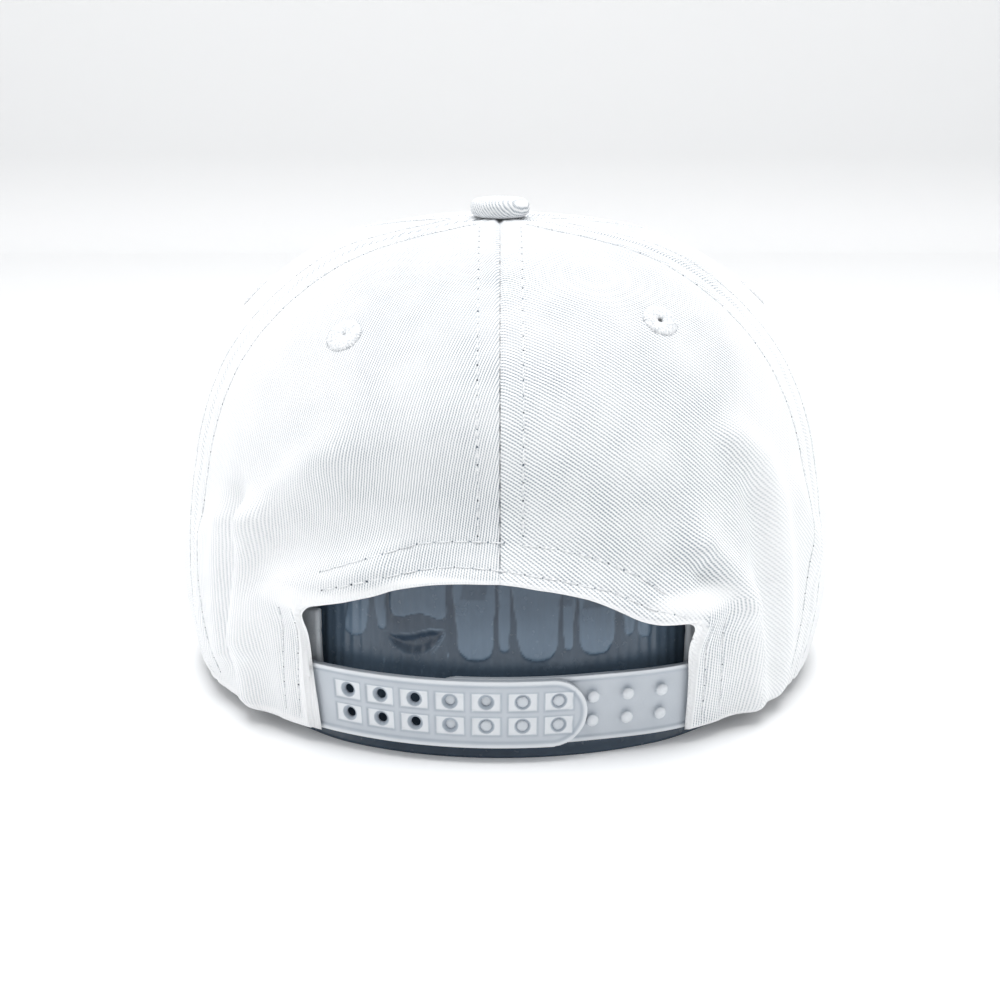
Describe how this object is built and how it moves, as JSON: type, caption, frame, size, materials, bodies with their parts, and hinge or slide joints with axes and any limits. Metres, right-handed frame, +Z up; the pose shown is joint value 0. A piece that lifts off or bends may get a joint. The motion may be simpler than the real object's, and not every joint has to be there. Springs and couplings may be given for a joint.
{
  "type": "six-panel cotton snapback cap on its plastic crown insert",
  "caption": "White cotton twill cap with a flat peak, a button, stitched eyelets and a plastic snap strap, standing on the dark fluted insert that holds its crown.",
  "frame": {"origin": "on the surface that the cap stands on, at the middle of the head opening", "axes": "+Z up to the button, +Y to the peak, -Y to the snap strap at the back, +X to the right as seen from behind"},
  "size_m": [0.1857, 0.2709, 0.13],
  "materials": {
    "twill": "white cotton twill",
    "stitching": "white embroidery thread",
    "sweatband": "plain white cotton",
    "snap_strap": "satin pale blue-grey plastic",
    "insert": "glossy dark blue-grey plastic"
  },
  "bodies": {
    "root": {"panel_back_left": "twill", "panel_back_right": "twill", "panel_side_left": "twill", "panel_side_right": "twill", "panel_front_left": "twill", "panel_front_right": "twill", "button": "twill", "eyelet_1": "stitching", "eyelet_2": "stitching", "eyelet_3": "stitching", "eyelet_4": "stitching", "eyelet_5": "stitching", "eyelet_6": "stitching", "sweatband": "sweatband", "peak": "twill", "strap_holes": "snap_strap", "strap_pegs": "snap_strap", "crown_insert": "insert"}
  },
  "joints": []
}
